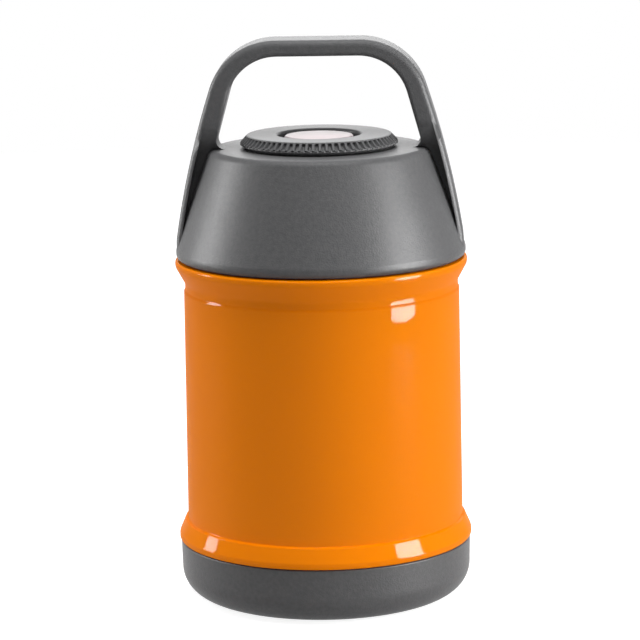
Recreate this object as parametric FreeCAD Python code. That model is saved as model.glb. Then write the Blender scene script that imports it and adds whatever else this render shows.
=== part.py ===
import FreeCAD, Part
import math
import os

# Insulated food jar: a double-walled steel jar with a screw lid, a fixed carrying handle moulded
# with the lid, and a vent valve under a knurled ring. Millimetres, +Z up, origin on the jar's axis
# at the face that it stands on. The handle's arms stand at +X and -X.

V = FreeCAD.Vector
UP = V(0, 0, 1)
HERE = V(0, 0, 0)

# Heights of the main levels
pad_lift = 0.4              # how far the foot stands clear, on its pad
cup_height = 21.8           # top of the grey base cup
shoulder_z = 129.8          # flat shoulder of the steel shell, under the lid
neck_height = 16.4          # steel neck above the shoulder
lid_height = 41.4           # lid from its rim to its deck
handle_rise = 40.9          # top of the handle's bar above the deck

# How far a cutting tool reaches past what it cuts
cut_over = 1.0

# Sheet steel
steel = 0.8                 # wall of shell, liner and bottom plate
vacuum_gap = 3.7            # between shell and liner at the shell's waist
neck_gap = 1.0              # between the two necks

# Steel shell
barrel_r = 52.6             # at the foot of the barrel
barrel_taper = 0.5
bead_reach = 3.3            # rolled bead above the base cup
bead_side = 2.3             # upright part of the bead
bead_side_round = 2.4
bead_top_reach = 1.0
bead_height = 7.6
bead_ledge = 0.4
groove_depth = 0.45         # waist below the lip
groove_step = 0.9
groove_height = 3.4
flare_height = 6.4
flare_round = 3.4
lip_reach = 2.55
lip_side = 2.3
lip_shoulder_round = 2.8
lip_round = 1.0
neck_round = 1.2
crease_round = 0.4
least_round = 0.15

# Base cup and its pad
seam_gap = 0.2              # joint line between the cup and the bead
cup_step = 0.5              # cup's rim inside the bead
cup_draft = 0.5
cup_corner = 10.8
cup_rim_round = 0.6
cup_wall = 3.2
cup_floor = 3.2
foot_seat = 6.2             # ledge in the cup that the shell's foot stands on
foot_seat_width = 7.0
foot_recess = 1.6
foot_lip = 2.5
pad_in_r = 33.0
pad_out_r = 43.0
pad_thick = 1.6
pad_round = 0.3

# Liner, foil and vacuum parts
liner_lift = 3.4            # liner's floor above the bottom plate
liner_corner = 12.0
liner_bend = 4.0
liner_bend_height = 7.0
liner_bend_drop = 1.3       # bend's end below the shoulder
foil_thick = 0.2
foil_margin = 4.0
plate_rise = 2.2            # bottom plate above the shell's foot
plate_dimple_r = 6.5
plate_dimple = 1.2
plate_dimple_run = 1.0      # half of the dimple's sloping wall
plate_round = 0.6
vent_hole_r = 1.2
seal_drop_r = 3.4
seal_drop = 0.9
getter_r = 4.0
getter_thick = 1.5
getter_x = 22.0
clip_thick = 0.3
clip_width = 3.6
clip_foot = 4.0

# Neck collar
collar_fit = 0.05
collar_wall = 2.4
collar_height = 14.3
collar_foot_reach = 1.6
collar_foot = 1.4
collar_round = 0.8

# Lid shell
lid_gap = 0.3               # open joint between the lid's rim and the shoulder
lid_wall = 2.6
lid_step = 0.45             # lid's rim inside the shell's lip
lid_rim_round = 2.2
lid_band = 3.5              # upright band above the rim
lid_band_round = 4.0
crown_step = 5.4            # slightly crowned flank of the cone
crown_height = 19.4
crown_round = 260.0
deck_step = 8.0             # deck's corner inside the crown
deck_round = 3.2
deck_hole_r = 24.2

# Handle
handle_width = 20.0
bar_thick = 6.0
outer_bend_r = 25.6
inner_bend_r = 18.8
bend_in = 13.1              # outermost point of the outer bend, inside the lid's rim
bend_thick = 7.6            # from there to the inner bend's outermost point
outer_flank_r = 344.0       # gently bowed outer side of each arm
bow_over = 0.17             # reach of that bow outside the lid's rim, at the arm's foot
inner_lean = 15.6           # degrees off upright of each arm's inner side
root_round = 3.2
outer_edge_round = 2.5
inner_edge_round = 1.6
arm_foot_rise = 1.6         # arm's end above the lid's rim, inside the lid's wall
arm_foot_step = 0.7         # upright foot of each arm's outer side, inside the lid's rim
arm_foot_in = 7.0
arm_foot_bend_r = 20.0
strap_thick = 1.9           # skin left outside each pocket
web_thick = 3.0             # web left between a pair of pockets
pocket_foot = 5.9           # pocket's end above the lid's rim
pocket_full_drop = 9.5      # full depth from here down, below the deck
pocket_fade_rise = 11.5     # run out into the arm's face here, above the deck

# Inner lid with its plug, skirt and seal
plug_gap = 0.7              # between the plug and the liner's neck
plug_depth = 12.0
plug_wall = 2.0
plug_floor = 2.2
plug_round = 2.0
seal_thick = 1.8
seal_gap = 0.3
seal_lip = 0.9
skirt_gap = 2.0             # between collar and skirt, where the threads mesh
skirt_wall = 1.6
skirt_round = 2.2
skirt_room = 0.4            # between the skirt's shoulder and the cone
flange_rise = 0.8           # inner lid's flange above the lid's rim
flange_thick = 1.5
plate_thick = 2.0
foam_gap = 0.1
foam_top_r = 40.0

# Valve housing in the lid
housing_fit = 0.2
boss_wall = 2.7
housing_flange_reach = 4.4
housing_flange = 2.0
channel_drop = 5.5          # floor of the ring's channel below the deck
channel_floor = 2.0
guide_drop = 1.5            # guide's rim below the deck
guide_wall = 1.9
well_drop = 15.5            # floor of the button's well below the deck
well_floor = 2.0
tube_r = 4.6
tube_wall = 1.6
ring_seal_r = 0.8
ring_seal_gap = 0.02
housing_round = 1.0
well_round = 1.5
well_taper = 2.0            # cone between the well's floor and the vent tube
well_land = 1.0             # upright bore that guides the stem
track_in = 1.0              # tracks' tool inside the channel's wall

# Knurled ring with its bayonet
ring_lift = 0.4             # above the deck
ring_r = 29.7
ring_foot_in = 1.4
ring_foot = 0.9
ring_side = 0.9
ring_slope = 2.7            # top edge inside the widest edge
ring_height = 4.6
ring_bore_r = 15.5
ring_bore_round = 1.2
ring_edge_round = 0.6
ring_web = 2.4
sleeve_gap = 0.3
sleeve_wall = 2.0
rib_count = 72
rib_groove_r = 0.62
rib_groove_depth = 0.5
rib_groove_over = 1.5       # groove's tool past both ends of the edge
lug_count = 3
lug_reach = 1.1
lug_rise = 0.4
lug_height = 1.8
lug_angle = 24.0
lug_root = 0.5
lug_play = 0.3
ring_turn = 45.0            # degrees that the ring turns between its stops
stop_play = 1.5             # degrees

# Button, stem and valve
button_gap = 2.5            # between the button and the ring's bore
button_thick = 2.2
button_dome = 0.8
dome_root = 0.2             # dome's form goes on below the button's edge
button_sink = 0.5           # button's edge under the ring's top
button_round = 0.9
button_skirt = 9.4
button_skirt_in = 1.0
button_skirt_wall = 1.6
guide_gap = 0.3
hub_wall = 1.6
hub_height = 7.4
stem_r = 2.0
stem_gap = 0.3
stem_depth = 0.8            # stem's end under the button's underside
stem_head_r = 4.6
stem_head = 1.6
stem_head_round = 0.6
vent_r = 4.0
valve_lap = 2.0             # valve's edge outside the vent
valve_thick = 2.8
spring_wire_r = 0.5
spring_turns = 5
spring_play = 0.05
coil_samples = 9            # points on each arc when the spring's gap is measured

# Radii and levels of the jar that follow from the sizes above
cup_floor_z = pad_lift + cup_floor
foot_seat_z = pad_lift + foot_seat
bead_z = cup_height + seam_gap
bead_r = barrel_r + bead_reach
cup_rim_r = bead_r - cup_step
shell_foot_r = cup_rim_r - cup_wall
barrel_top_z = shoulder_z - lip_side - flare_height - groove_height
waist_r = barrel_r - barrel_taper - groove_depth
lip_r = barrel_r + lip_reach
plate_z = foot_seat_z + plate_rise
liner_floor_z = plate_z + steel + liner_lift
liner_r = waist_r - steel - vacuum_gap
liner_neck_z = shoulder_z - liner_bend_drop
liner_top_z = liner_neck_z - liner_bend_height
mouth_z = shoulder_z + neck_height

# Radii and levels of the lid
lid_z = shoulder_z + lid_gap
lid_rim_r = lip_r - lid_step
crown_r = lid_rim_r - crown_step
crown_z = lid_z + crown_height
deck_r = crown_r - deck_step
deck_z = lid_z + lid_height
lid_top_in_z = deck_z - lid_wall
seat_z = mouth_z + seal_thick
lid_plate_z = seat_z + plate_thick
handle_top_z = deck_z + handle_rise
bar_low_z = handle_top_z - bar_thick
outer_bend_x = lid_rim_r - bend_in - outer_bend_r
inner_bend_x = lid_rim_r - bend_in - bend_thick - inner_bend_r
arm_foot_x = lid_rim_r - arm_foot_step
arm_foot_z = lid_z + arm_foot_rise
pocket_low_z = lid_z + pocket_foot
pocket_full_z = deck_z - pocket_full_drop
pocket_fade_z = deck_z + pocket_fade_rise

# The skirt is as wide as the cone allows, and the neck as wide as the skirt allows
flank_lean = math.atan2(lid_rim_r - crown_r, crown_z - lid_z - lid_band)
skirt_shoulder_z = lid_plate_z - skirt_round
cone_in_r = crown_r + (crown_z - skirt_shoulder_z) * math.tan(flank_lean) - lid_wall / math.cos(flank_lean)
skirt_out_r = cone_in_r - skirt_room
skirt_r = skirt_out_r - skirt_wall
skirt_foot_z = lid_z + flange_rise
collar_r = skirt_r - skirt_gap
neck_r = collar_r - collar_wall - collar_fit
liner_neck_r = neck_r - steel - neck_gap
mouth_r = liner_neck_r - steel
plug_r = mouth_r - plug_gap
plug_z = mouth_z - plug_depth
plug_floor_z = plug_z + plug_floor

# Radii and levels of the valve, ring and button
boss_r = deck_hole_r - housing_fit
housing_flange_r = boss_r + housing_flange_reach
seal_groove_r = (boss_r + housing_flange_r) / 2
channel_r = boss_r - boss_wall
sleeve_r = channel_r - sleeve_gap
sleeve_foot_z = deck_z - channel_drop
lug_z = sleeve_foot_z + lug_rise
well_floor_z = deck_z - well_drop
ring_z = deck_z + ring_lift
ring_top_r = ring_r - ring_slope
ring_top_z = ring_z + ring_height
button_r = ring_bore_r - button_gap
button_edge_z = ring_top_z - button_sink
button_z = button_edge_z - button_thick
button_skirt_r = button_r - button_skirt_in
guide_r = button_skirt_r + guide_gap
hub_r = stem_r + hub_wall
spring_r = (hub_r + button_skirt_r - button_skirt_wall) / 2


def corner_arc(before, corner, after, radius):
    """Start, middle and end of the arc that rounds a corner, or None where it is sharp."""
    back = (before - corner).normalize()
    ahead = (after - corner).normalize()
    half = back.getAngle(ahead) / 2
    if radius <= 0 or half > math.pi / 2 - 1e-4:
        return None
    reach = radius / math.tan(half)
    middle_way = (back + ahead).normalize()
    centre = corner + middle_way * (radius / math.sin(half))
    return corner + back * reach, centre - middle_way * radius, corner + ahead * reach


def outline(corners):
    """Closed face in the XZ plane through corners (x, z) or (x, z, rounding radius)."""
    points = [V(corner[0], 0, corner[1]) for corner in corners]
    arcs = []
    for index, corner in enumerate(corners):
        radius = corner[2] if len(corner) > 2 else 0
        after = points[(index + 1) % len(points)]
        arcs.append(corner_arc(points[index - 1], points[index], after, radius))
    edges = []
    for index, arc in enumerate(arcs):
        ahead = (index + 1) % len(arcs)
        start = arc[2] if arc else points[index]
        end = arcs[ahead][0] if arcs[ahead] else points[ahead]
        if arc:
            edges.append(Part.Arc(*arc).toShape())
        if start.distanceToPoint(end) > 1e-6:
            edges.append(Part.LineSegment(start, end).toShape())
    return Part.Face(Part.Wire(edges))


def turned(corners, angle=360):
    """Solid of revolution about the jar's axis, from an outline of (radius, z) corners."""
    return outline(corners).revolve(HERE, UP, angle)


def tube(inner, outer, low, high):
    """Plain ring between two radii and two levels."""
    return turned([(inner, low), (outer, low), (outer, high), (inner, high)])


def around(shape, count):
    """Copies of a shape, evenly turned about the jar's axis."""
    copies = []
    for index in range(count):
        copy = shape.copy()
        copy.rotate(HERE, UP, 360.0 * index / count)
        copies.append(copy)
    return copies


def mirrored(shape, normal):
    """A shape with its mirror image across a plane through the origin."""
    return [shape, shape.mirror(HERE, normal)]


def shell_side(depth):
    """Corners of the steel shell's side from foot to mouth, at a depth under its surface."""
    rolled = max(lip_round - depth, least_round)
    crease = 0 if depth else crease_round
    bead_top_z = bead_z + bead_height
    waist_z = barrel_top_z + groove_height
    return [
        (shell_foot_r - depth, foot_seat_z),
        (shell_foot_r - depth, bead_z + depth),
        (bead_r - depth, bead_z + depth, rolled),
        (bead_r - depth, bead_z + bead_side, bead_side_round),
        (barrel_r + bead_top_reach - depth, bead_top_z - depth, crease),
        (barrel_r - depth, bead_top_z + bead_ledge - depth, crease),
        (barrel_r - barrel_taper - depth, barrel_top_z, crease),
        (waist_r - depth, barrel_top_z + groove_step, crease),
        (waist_r - depth, waist_z, flare_round + depth),
        (lip_r - depth, waist_z + flare_height, lip_shoulder_round),
        (lip_r - depth, shoulder_z - depth, rolled),
        (neck_r - depth, shoulder_z - depth, neck_round),
    ]


def outer_shell():
    """Drawn steel shell with its bead, waist, flared lip and neck, rolled over at the mouth."""
    mouth = [
        (neck_r, mouth_z, crease_round),
        (liner_neck_r, mouth_z),
        (liner_neck_r, mouth_z - steel),
        (neck_r - steel, mouth_z - steel),
    ]
    return turned(shell_side(0) + mouth + shell_side(steel)[::-1])


def liner_side(depth):
    """Corners of the liner's side from the middle of its floor to its mouth."""
    return [
        (0, liner_floor_z + depth),
        (liner_r - depth, liner_floor_z + depth, liner_corner - depth),
        (liner_r - depth, liner_top_z, liner_bend - depth),
        (liner_neck_r - depth, liner_neck_z, liner_bend + depth),
        (liner_neck_r - depth, mouth_z),
    ]


def inner_liner():
    """Steel liner that holds the food, welded to the shell at the mouth."""
    return turned(liner_side(0) + liner_side(steel)[::-1])


def radiation_foil():
    """Foil sleeve round the liner, in the vacuum."""
    return tube(liner_r, liner_r + foil_thick, liner_floor_z + liner_corner + foil_margin,
                liner_top_z - foil_margin)


def bottom_plate():
    """Dished plate that closes the vacuum, with its evacuation hole in a dimple."""
    rim_r = shell_foot_r - steel
    low = plate_z
    return turned([
        (vent_hole_r, low + plate_dimple),
        (plate_dimple_r, low + plate_dimple),
        (plate_dimple_r + 2 * plate_dimple_run, low),
        (rim_r - steel, low),
        (rim_r - steel, foot_seat_z),
        (rim_r, foot_seat_z),
        (rim_r, low + steel, plate_round),
        (plate_dimple_r + plate_dimple_run, low + steel),
        (plate_dimple_r - plate_dimple_run, low + plate_dimple + steel),
        (vent_hole_r, low + plate_dimple + steel),
    ])


def vacuum_seal():
    """Drop of sealing glass that closes the evacuation hole from below."""
    top = plate_z + plate_dimple
    return turned([
        (0, top - seal_drop),
        (seal_drop_r, top - seal_drop, seal_drop / 2),
        (seal_drop_r, top),
        (vent_hole_r, top),
        (vent_hole_r, top + steel),
        (0, top + steel),
    ])


def getter_pellet():
    """Gas-absorbing pellet on the bottom plate, inside the vacuum."""
    floor = plate_z + steel
    return Part.makeCylinder(getter_r, getter_thick, V(getter_x, 0, floor))


def getter_clip():
    """Spring strip that holds the pellet down, spot-welded at both feet."""
    floor = plate_z + steel
    reach = getter_r + clip_thick
    side = outline([
        (getter_x - reach - clip_foot, floor),
        (getter_x - reach + clip_thick, floor),
        (getter_x - reach + clip_thick, floor + getter_thick),
        (getter_x + reach - clip_thick, floor + getter_thick),
        (getter_x + reach - clip_thick, floor),
        (getter_x + reach + clip_foot, floor),
        (getter_x + reach + clip_foot, floor + clip_thick),
        (getter_x + reach, floor + clip_thick),
        (getter_x + reach, floor + getter_thick + clip_thick),
        (getter_x - reach, floor + getter_thick + clip_thick),
        (getter_x - reach, floor + clip_thick),
        (getter_x - reach - clip_foot, floor + clip_thick),
    ])
    side.translate(V(0, -clip_width / 2, 0))
    return side.extrude(V(0, clip_width, 0))


def base_cup():
    """Moulded cup that the shell's foot is pressed into, with a groove for the pad below."""
    body = turned([
        (0, pad_lift + foot_recess),
        (pad_in_r - foot_lip, pad_lift + foot_recess),
        (pad_in_r - foot_lip, pad_lift, crease_round),
        (cup_rim_r - cup_draft, pad_lift, cup_corner),
        (cup_rim_r, cup_height, cup_rim_round),
        (shell_foot_r, cup_height),
        (shell_foot_r, foot_seat_z),
        (shell_foot_r - foot_seat_width, foot_seat_z),
        (shell_foot_r - foot_seat_width, cup_floor_z),
        (0, cup_floor_z),
    ])
    groove = tube(pad_in_r, pad_out_r, 0, pad_thick)
    return body.cut(groove)


def base_pad():
    """Soft ring in the cup's groove, the face that the jar stands on."""
    return turned([
        (pad_in_r, 0, pad_round),
        (pad_out_r, 0, pad_round),
        (pad_out_r, pad_thick),
        (pad_in_r, pad_thick),
    ])


def neck_collar():
    """Moulded collar round the steel neck, which carries the lid's thread."""
    bore = neck_r + collar_fit
    foot_r = collar_r + collar_foot_reach
    top = shoulder_z + collar_height
    return turned([
        (bore + neck_round, shoulder_z),
        (foot_r, shoulder_z, crease_round),
        (foot_r, shoulder_z + collar_foot, crease_round),
        (collar_r, shoulder_z + collar_foot, crease_round),
        (collar_r, top, collar_round),
        (bore, top),
        (bore, shoulder_z + neck_round),
    ])


def lid_side(depth):
    """Corners of the lid's cone from rim to deck, at a depth under its surface."""
    lean = math.atan2(crown_r - deck_r, deck_z - crown_z)
    inset = depth / math.cos(lean)
    return [
        (lid_rim_r - depth, lid_z + lid_band - depth * math.tan(lean / 2), lid_band_round),
        (crown_r - inset, crown_z, crown_round),
        (deck_r - inset * (1 - math.sin(lean)), deck_z - depth, max(deck_round - depth, crease_round)),
    ]


def lid_cone():
    """The lid's outer form, still solid."""
    rim = [(0, lid_z), (lid_rim_r, lid_z, lid_rim_round)]
    return turned(rim + lid_side(0) + [(0, deck_z)])


def lid_cavity():
    """The hollow under the lid's deck, open at the rim, with the hole for the valve housing."""
    below = lid_z - cut_over
    rim = [(0, below), (lid_rim_r - lid_wall, below)]
    hollow = turned(rim + lid_side(lid_wall) + [(0, lid_top_in_z)])
    hole = Part.makeCylinder(deck_hole_r, 2 * lid_wall, V(0, 0, lid_top_in_z - lid_wall / 2))
    return hollow.fuse(hole)


def bend_point(centre_x, centre_z, radius, degrees):
    """Point on the round bend at an angle above level."""
    angle = math.radians(degrees)
    return V(centre_x + radius * math.cos(angle), 0, centre_z + radius * math.sin(angle))


def bow_angle():
    """Angle above level at which the bend runs into the bow that ends at the arm's foot."""
    across = lid_rim_r + bow_over - outer_bend_x
    drop = handle_top_z - outer_bend_r - arm_foot_z
    far = math.hypot(across, drop)
    step = outer_flank_r - outer_bend_r
    reach = (outer_flank_r ** 2 - step ** 2 - far ** 2) / (2 * step)
    return math.acos(reach / far) - math.atan2(drop, across)


def flank_centre():
    """Centre of the bow of an arm's outer side."""
    angle = bow_angle()
    step = outer_flank_r - outer_bend_r
    low = handle_top_z - outer_bend_r - step * math.sin(angle)
    return V(outer_bend_x - step * math.cos(angle), 0, low)


def flank_point(inset, z):
    """Point at a level on the bowed outer side of an arm, moved inwards by an inset."""
    centre = flank_centre()
    radius = outer_flank_r - inset
    return V(centre.x + math.sqrt(radius ** 2 - (z - centre.z) ** 2), 0, z)


def foot_bend():
    """Start, middle and end of the arc that turns an arm's bowed side upright at its foot."""
    centre = flank_centre()
    across = arm_foot_x - arm_foot_bend_r - centre.x
    reach = outer_flank_r - arm_foot_bend_r
    bend = centre + V(across, 0, math.sqrt(reach ** 2 - across ** 2))
    start = centre + (bend - centre).normalize() * outer_flank_r
    halfway = ((start - bend).normalize() + V(1, 0, 0)).normalize()
    return start, bend + halfway * arm_foot_bend_r, bend + V(arm_foot_bend_r, 0, 0)


def outer_half():
    """Edges of the handle's outer outline, from the middle of the bar to an arm's foot."""
    centre_z = handle_top_z - outer_bend_r
    top = bend_point(outer_bend_x, centre_z, outer_bend_r, 90)
    turn = math.degrees(bow_angle())
    middle = bend_point(outer_bend_x, centre_z, outer_bend_r, 45 + turn / 2)
    joint = bend_point(outer_bend_x, centre_z, outer_bend_r, turn)
    low, bend, upright = foot_bend()
    halfway = flank_point(0, (joint.z + low.z) / 2)
    return [
        Part.LineSegment(V(0, 0, handle_top_z), top).toShape(),
        Part.Arc(top, middle, joint).toShape(),
        Part.Arc(joint, halfway, low).toShape(),
        Part.Arc(low, bend, upright).toShape(),
        Part.LineSegment(upright, V(arm_foot_x, 0, arm_foot_z)).toShape(),
    ]


def inner_half():
    """Edges of the handle's inner outline, from the middle of the bar to the deck."""
    centre_z = bar_low_z - inner_bend_r
    lean = math.radians(inner_lean)
    top = bend_point(inner_bend_x, centre_z, inner_bend_r, 90)
    middle = bend_point(inner_bend_x, centre_z, inner_bend_r, 45 + inner_lean / 2)
    joint = bend_point(inner_bend_x, centre_z, inner_bend_r, inner_lean)
    deck_point = joint + V(math.tan(lean), 0, -1) * (joint.z - deck_z)
    start, halfway, end = corner_arc(joint, deck_point, V(0, 0, deck_z), root_round)
    return [
        Part.LineSegment(V(0, 0, bar_low_z), top).toShape(),
        Part.Arc(top, middle, joint).toShape(),
        Part.LineSegment(joint, start).toShape(),
        Part.Arc(start, halfway, end).toShape(),
    ]


def edges_along(solid, path, side_y):
    """The solid's edges that lie on a path moved sideways."""
    found = []
    for step in path:
        middle = step.valueAt((step.FirstParameter + step.LastParameter) / 2)
        probe = Part.Vertex(middle + V(0, side_y, 0))
        found.append(min(solid.Edges, key=lambda edge: edge.distToShape(probe)[0]))
    return found


def handle_half():
    """Half of the handle, from the middle of its bar to one arm's foot, with rounded edges."""
    outer = outer_half()
    inner = inner_half()
    foot = V(arm_foot_x, 0, arm_foot_z)
    root = inner[-1].valueAt(inner[-1].LastParameter)
    within = foot - V(arm_foot_in, 0, 0)
    ties = [
        (V(0, 0, bar_low_z), V(0, 0, handle_top_z)),
        (foot, within),
        (within, root - V(0, 0, deck_round)),
        (root - V(0, 0, deck_round), root),
    ]
    edges = outer + inner + [Part.LineSegment(*tie).toShape() for tie in ties]
    face = Part.Face(Part.Wire(Part.__sortEdges__(edges)))
    face.translate(V(0, -handle_width / 2, 0))
    solid = face.extrude(V(0, handle_width, 0))
    for side_y in (-handle_width / 2, handle_width / 2):
        solid = solid.makeFillet(outer_edge_round, edges_along(solid, outer, side_y))
        solid = solid.makeFillet(inner_edge_round, edges_along(solid, inner, side_y))
    return solid


def pocket_depth_form():
    """Form that sets the pocket's depth: full beside the web, running out up the arm's face."""
    front = handle_width / 2
    full = web_thick / 2
    rise = (pocket_fade_z - pocket_full_z) / 2
    run = (front - full) / 2
    bend = (rise ** 2 + run ** 2) / (2 * run)
    half_turn = math.atan2(run, rise)
    lower = V(0, full + bend * (1 - math.cos(half_turn)), pocket_full_z + bend * math.sin(half_turn))
    middle = V(0, full + run, pocket_full_z + rise)
    upper = V(0, front - bend * (1 - math.cos(half_turn)), pocket_fade_z - bend * math.sin(half_turn))
    far = front + cut_over
    edges = [
        Part.LineSegment(V(0, far, pocket_low_z), V(0, full, pocket_low_z)).toShape(),
        Part.LineSegment(V(0, full, pocket_low_z), V(0, full, pocket_full_z)).toShape(),
        Part.Arc(V(0, full, pocket_full_z), lower, middle).toShape(),
        Part.Arc(middle, upper, V(0, front, pocket_fade_z)).toShape(),
        Part.LineSegment(V(0, front, pocket_fade_z), V(0, far, pocket_fade_z)).toShape(),
        Part.LineSegment(V(0, far, pocket_fade_z), V(0, far, pocket_low_z)).toShape(),
    ]
    return Part.Face(Part.Wire(edges)).extrude(V(2 * lid_rim_r, 0, 0))


def pocket_pair():
    """Tools for the two pockets of one arm, between its outer skin and the cone."""
    low = flank_point(strap_thick, pocket_low_z)
    high = flank_point(strap_thick, pocket_fade_z)
    halfway = flank_point(strap_thick, (pocket_low_z + pocket_fade_z) / 2)
    edges = [
        Part.Arc(low, halfway, high).toShape(),
        Part.LineSegment(high, V(inner_bend_x, 0, high.z)).toShape(),
        Part.LineSegment(V(inner_bend_x, 0, high.z), V(inner_bend_x, 0, low.z)).toShape(),
        Part.LineSegment(V(inner_bend_x, 0, low.z), low).toShape(),
    ]
    side = Part.Face(Part.Wire(edges)).extrude(V(0, handle_width, 0))
    return mirrored(side.common(pocket_depth_form()), V(0, 1, 0))


def lid_shell():
    """Lid cone and handle, moulded in one piece."""
    arm = handle_half().cut(pocket_pair())
    whole = lid_cone().fuse(mirrored(arm, V(1, 0, 0)))
    return whole.cut(lid_cavity()).removeSplitter()


def inner_lid():
    """Inner lid: the plug in the neck, the seat for the seal and the skirt with the thread."""
    rim_r = lid_rim_r - lid_wall
    return turned([
        (vent_r, plug_z),
        (plug_r, plug_z, plug_round),
        (plug_r, seat_z),
        (skirt_r, seat_z),
        (skirt_r, skirt_foot_z),
        (rim_r, skirt_foot_z),
        (rim_r, skirt_foot_z + flange_thick),
        (skirt_out_r, skirt_foot_z + flange_thick),
        (skirt_out_r, lid_plate_z, skirt_round),
        (plug_r - plug_wall, lid_plate_z),
        (plug_r - plug_wall, plug_floor_z),
        (vent_r, plug_floor_z),
    ])


def lid_seal():
    """Silicone ring between the inner lid and the steel mouth."""
    return tube(plug_r + seal_gap, neck_r + seal_lip, mouth_z, seat_z)


def lid_foam():
    """Insulating foam in the plug and above it."""
    bore = tube_r + tube_wall + foam_gap
    side_r = plug_r - plug_wall - foam_gap
    step_z = lid_plate_z + foam_gap
    top_z = well_floor_z - foam_gap
    return turned([
        (bore, plug_floor_z),
        (side_r, plug_floor_z),
        (side_r, step_z),
        (foam_top_r, step_z),
        (foam_top_r, top_z),
        (bore, top_z),
    ])


def housing_body():
    """Turned form of the valve housing: boss, ring channel, button well and vent tube."""
    guide_out_r = guide_r + guide_wall
    guide_top_z = deck_z - guide_drop
    channel_low_z = sleeve_foot_z - channel_floor
    well_top_z = well_floor_z + well_floor
    tube_out_r = tube_r + tube_wall
    return turned([
        (tube_r, plug_floor_z),
        (tube_out_r, plug_floor_z),
        (tube_out_r, well_floor_z),
        (guide_out_r, well_floor_z, well_round),
        (guide_out_r, channel_low_z),
        (boss_r, channel_low_z, housing_round),
        (boss_r, lid_top_in_z - housing_flange),
        (housing_flange_r, lid_top_in_z - housing_flange),
        (housing_flange_r, lid_top_in_z),
        (boss_r, lid_top_in_z),
        (boss_r, deck_z),
        (channel_r, deck_z),
        (channel_r, sleeve_foot_z),
        (guide_out_r, sleeve_foot_z),
        (guide_out_r, guide_top_z),
        (guide_r, guide_top_z),
        (guide_r, well_top_z),
        (stem_r + stem_gap, well_top_z),
        (stem_r + stem_gap, well_floor_z - well_land),
        (tube_r, well_floor_z - well_land - well_taper),
    ])


def valve_housing():
    """Housing that holds the button and its spring, with bayonet tracks for the ring."""
    seal_half = ring_seal_r + ring_seal_gap
    seal_groove = tube(seal_groove_r - seal_half, seal_groove_r + seal_half,
                       lid_top_in_z - 2 * ring_seal_r, lid_top_in_z + cut_over)
    track_r = sleeve_r + lug_reach + lug_play
    low = lug_z - lug_play
    high = lug_z + lug_height + lug_play
    inner = channel_r - track_in
    track = turned([(inner, low), (track_r, low), (track_r, high), (inner, high)],
                   lug_angle + ring_turn + 2 * stop_play)
    track.rotate(HERE, UP, -stop_play)
    top = deck_z + cut_over
    entry = turned([(inner, low), (track_r, low), (track_r, top), (inner, top)],
                   lug_angle + 2 * stop_play)
    entry.rotate(HERE, UP, ring_turn - stop_play)
    cuts = [seal_groove] + around(track, lug_count) + around(entry, lug_count)
    return housing_body().cut(cuts)


def housing_seal():
    """Round rubber ring between the housing's flange and the deck."""
    centre = V(0, 0, lid_top_in_z - ring_seal_r)
    return Part.makeTorus(seal_groove_r, ring_seal_r, centre, UP)


def rib_groove():
    """One groove of the knurling, laid along the ring's sloping edge."""
    low = V(ring_r, 0, ring_z + ring_foot)
    high = V(ring_top_r, 0, ring_top_z)
    along = (high - low).normalize()
    outward = V(along.z, 0, -along.x)
    lift = outward * (rib_groove_r - rib_groove_depth)
    start = low + lift - along * rib_groove_over
    length = (high - low).Length + 2 * rib_groove_over
    return Part.makeCylinder(rib_groove_r, length, start, along)


def knurled_ring():
    """Ring that turns on the lid's bayonet, with a ribbed edge and a sleeve with three lugs."""
    sleeve_in_r = sleeve_r - sleeve_wall
    body = turned([
        (ring_bore_r, ring_top_z - ring_web),
        (sleeve_in_r, ring_top_z - ring_web),
        (sleeve_in_r, sleeve_foot_z),
        (sleeve_r, sleeve_foot_z),
        (sleeve_r, ring_z),
        (ring_r - ring_foot_in, ring_z),
        (ring_r - ring_foot_in, ring_z + ring_foot / 2),
        (ring_r, ring_z + ring_foot),
        (ring_r, ring_z + ring_foot + ring_side),
        (ring_top_r, ring_top_z, ring_edge_round),
        (ring_bore_r, ring_top_z, ring_bore_round),
    ])
    lug = turned([
        (sleeve_r - lug_root, lug_z),
        (sleeve_r + lug_reach, lug_z),
        (sleeve_r + lug_reach, lug_z + lug_height),
        (sleeve_r - lug_root, lug_z + lug_height),
    ], lug_angle)
    return body.cut(around(rib_groove(), rib_count)).fuse(around(lug, lug_count)).removeSplitter()


def release_button():
    """Domed push button with a guiding skirt and a hub for the stem."""
    skirt_in_r = button_skirt_r - button_skirt_wall
    flat = turned([
        (0, button_z - stem_depth),
        (stem_r, button_z - stem_depth),
        (stem_r, button_z - hub_height),
        (hub_r, button_z - hub_height),
        (hub_r, button_z),
        (skirt_in_r, button_z),
        (skirt_in_r, button_z - button_skirt),
        (button_skirt_r, button_z - button_skirt),
        (button_skirt_r, button_z),
        (button_r, button_z),
        (button_r, button_edge_z, button_round),
        (0, button_edge_z),
    ])
    crown_reach = button_r - button_round
    ball_r = (crown_reach ** 2 + button_dome ** 2) / (2 * button_dome)
    ball = Part.makeSphere(ball_r, V(0, 0, button_edge_z + button_dome - ball_r))
    slab = Part.makeCylinder(button_r, button_dome + dome_root, V(0, 0, button_edge_z - dome_root))
    return flat.fuse(ball.common(slab)).removeSplitter()


def valve_stem():
    """Stem from the button down through the housing to the valve in the plug's floor."""
    head_z = plug_z - valve_thick - stem_head
    return turned([
        (0, head_z),
        (stem_head_r, head_z, stem_head_round),
        (stem_head_r, head_z + stem_head),
        (stem_r, head_z + stem_head),
        (stem_r, button_z - stem_depth),
        (0, button_z - stem_depth),
    ])


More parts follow.
